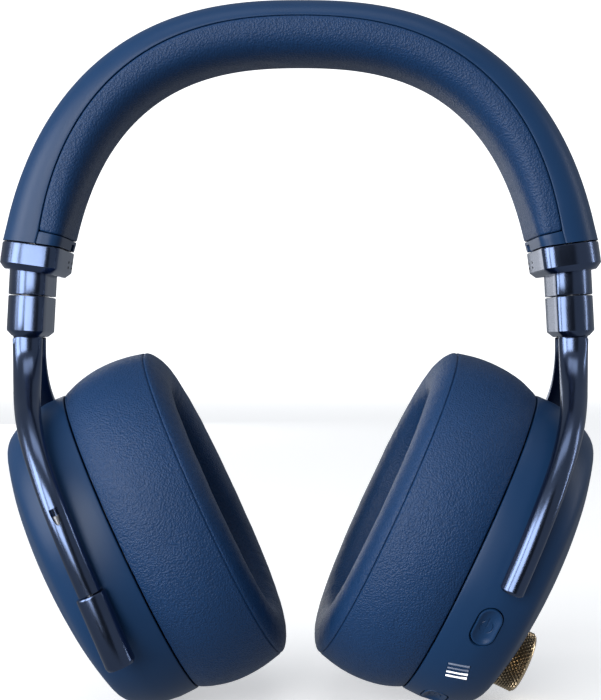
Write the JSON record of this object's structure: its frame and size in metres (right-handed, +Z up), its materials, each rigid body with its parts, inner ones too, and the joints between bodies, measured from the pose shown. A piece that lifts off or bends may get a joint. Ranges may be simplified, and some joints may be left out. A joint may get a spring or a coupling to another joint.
{
  "type": "over ear headphones",
  "caption": "Closed-back over ear headphones with a padded headband, metal sliders and forks, tilting oval cups, a volume knob, buttons and a stowed mic.",
  "frame": {"origin": "middle of the headband cushion's underside at the crown, where the headphones hang on a head or a stand", "axes": "+Z up; +X towards the right cup, the one with the knob and the buttons; -Y is the front, where the polished front legs of the forks and the microphone are"},
  "size_m": [0.1704, 0.0925, 0.199],
  "materials": {
    "shell_plastic": "soft-touch navy blue, satin",
    "leather": "fine pebbled navy protein leather, satin",
    "gunmetal": "polished and tinted bluish gunmetal",
    "spring_steel": "bright spring steel",
    "dark_plastic": "black moulded plastic",
    "magnet_steel": "nickel plate",
    "diaphragm_film": "thin film",
    "speaker_cloth": "dark open-weave cloth",
    "board_green": "solder resist",
    "battery_wrap": "foil pouch",
    "knob_brass": "diamond knurled brass",
    "light_guide": "milky light guide",
    "lead_rubber": "black insulated lead"
  },
  "bodies": {
    "headband": {"headband_shell": "shell_plastic", "headband_cushion": "leather", "spring_band": "spring_steel", "headband_lead": "lead_rubber", "end_cap_left": "shell_plastic", "collar_left": "gunmetal", "slider_guide_left": "dark_plastic", "upper_sleeve_left": "gunmetal", "end_cap_right": "shell_plastic", "collar_right": "gunmetal", "slider_guide_right": "dark_plastic", "upper_sleeve_right": "gunmetal"},
    "slider_left": {"slider_blade_left": "spring_steel", "lower_sleeve_left": "gunmetal"},
    "yoke_left": {"fork_left": "gunmetal", "swivel_pin_left": "spring_steel", "pivot_pin_left_front": "spring_steel", "pivot_pin_left_rear": "spring_steel"},
    "cup_left": {"cup_housing_left": "shell_plastic", "baffle_left": "dark_plastic", "driver_basket_left": "dark_plastic", "driver_magnet_left": "magnet_steel", "diaphragm_left": "diaphragm_film", "pad_ring_left": "dark_plastic", "speaker_cloth_left": "speaker_cloth", "ear_pad_left": "leather", "circuit_board_left": "board_green", "pivot_bush_left_front": "dark_plastic", "pivot_bush_left_rear": "dark_plastic", "battery": "battery_wrap"},
    "slider_right": {"slider_blade_right": "spring_steel", "lower_sleeve_right": "gunmetal"},
    "yoke_right": {"fork_right": "gunmetal", "swivel_pin_right": "spring_steel", "pivot_pin_right_front": "spring_steel", "pivot_pin_right_rear": "spring_steel"},
    "cup_right": {"cup_housing_right": "shell_plastic", "baffle_right": "dark_plastic", "driver_basket_right": "dark_plastic", "driver_magnet_right": "magnet_steel", "diaphragm_right": "diaphragm_film", "pad_ring_right": "dark_plastic", "speaker_cloth_right": "speaker_cloth", "ear_pad_right": "leather", "circuit_board_right": "board_green", "pivot_bush_right_front": "dark_plastic", "pivot_bush_right_rear": "dark_plastic", "knob_encoder": "dark_plastic", "light_guide": "light_guide", "usb_socket": "magnet_steel"},
    "volume_knob": {"volume_knob": "knob_brass"},
    "power_button": {"power_button": "shell_plastic"},
    "mode_button": {"mode_button": "shell_plastic"},
    "mic_boom": {"mic_capsule": "gunmetal", "mic_rod": "spring_steel"}
  },
  "joints": [
    {"name": "slider_left", "type": "slide", "parent": "headband", "child": "slider_left", "axis": [-0.1478, 0, -0.989], "range_m": [0, 0.02]},
    {"name": "swivel_left", "type": "hinge", "parent": "slider_left", "child": "yoke_left", "pos_m": [-0.0773, 0, -0.06718], "axis": [-0.0523, 0, -0.9986], "range_deg": [-10, 90]},
    {"name": "tilt_left", "type": "hinge", "parent": "yoke_left", "child": "cup_left", "pos_m": [-0.06047, 0.00161, -0.13784], "axis": [0.0784, -0.9969, -0.0041], "range_deg": [-8, 8]},
    {"name": "slider_right", "type": "slide", "parent": "headband", "child": "slider_right", "axis": [0.1478, 0, -0.989], "range_m": [0, 0.02]},
    {"name": "swivel_right", "type": "hinge", "parent": "slider_right", "child": "yoke_right", "pos_m": [0.0773, 0, -0.06718], "axis": [-0.0523, 0, 0.9986], "range_deg": [-10, 90]},
    {"name": "tilt_right", "type": "hinge", "parent": "yoke_right", "child": "cup_right", "pos_m": [0.06047, 0.00161, -0.13784], "axis": [0.0784, 0.9969, 0.0041], "range_deg": [-8, 8]},
    {"name": "volume_knob_turn", "type": "hinge", "parent": "cup_right", "child": "volume_knob", "pos_m": [0.06324, 0.00154, -0.17212], "axis": [0.9036, -0.0693, -0.4228], "continuous": true},
    {"name": "power_button_press", "type": "slide", "parent": "cup_right", "child": "power_button", "axis": [0.016, 0.9508, 0.3093], "range_m": [0, 0.0006], "stiffness_N_per_m": 800},
    {"name": "mode_button_press", "type": "slide", "parent": "cup_right", "child": "mode_button", "axis": [0.2621, 0.4164, 0.8706], "range_m": [0, 0.0006], "stiffness_N_per_m": 800},
    {"name": "mic_boom_slide", "type": "slide", "parent": "yoke_left", "child": "mic_boom", "axis": [0.3912, 0.0346, -0.9197], "range_m": [0, 0.018]}
  ]
}
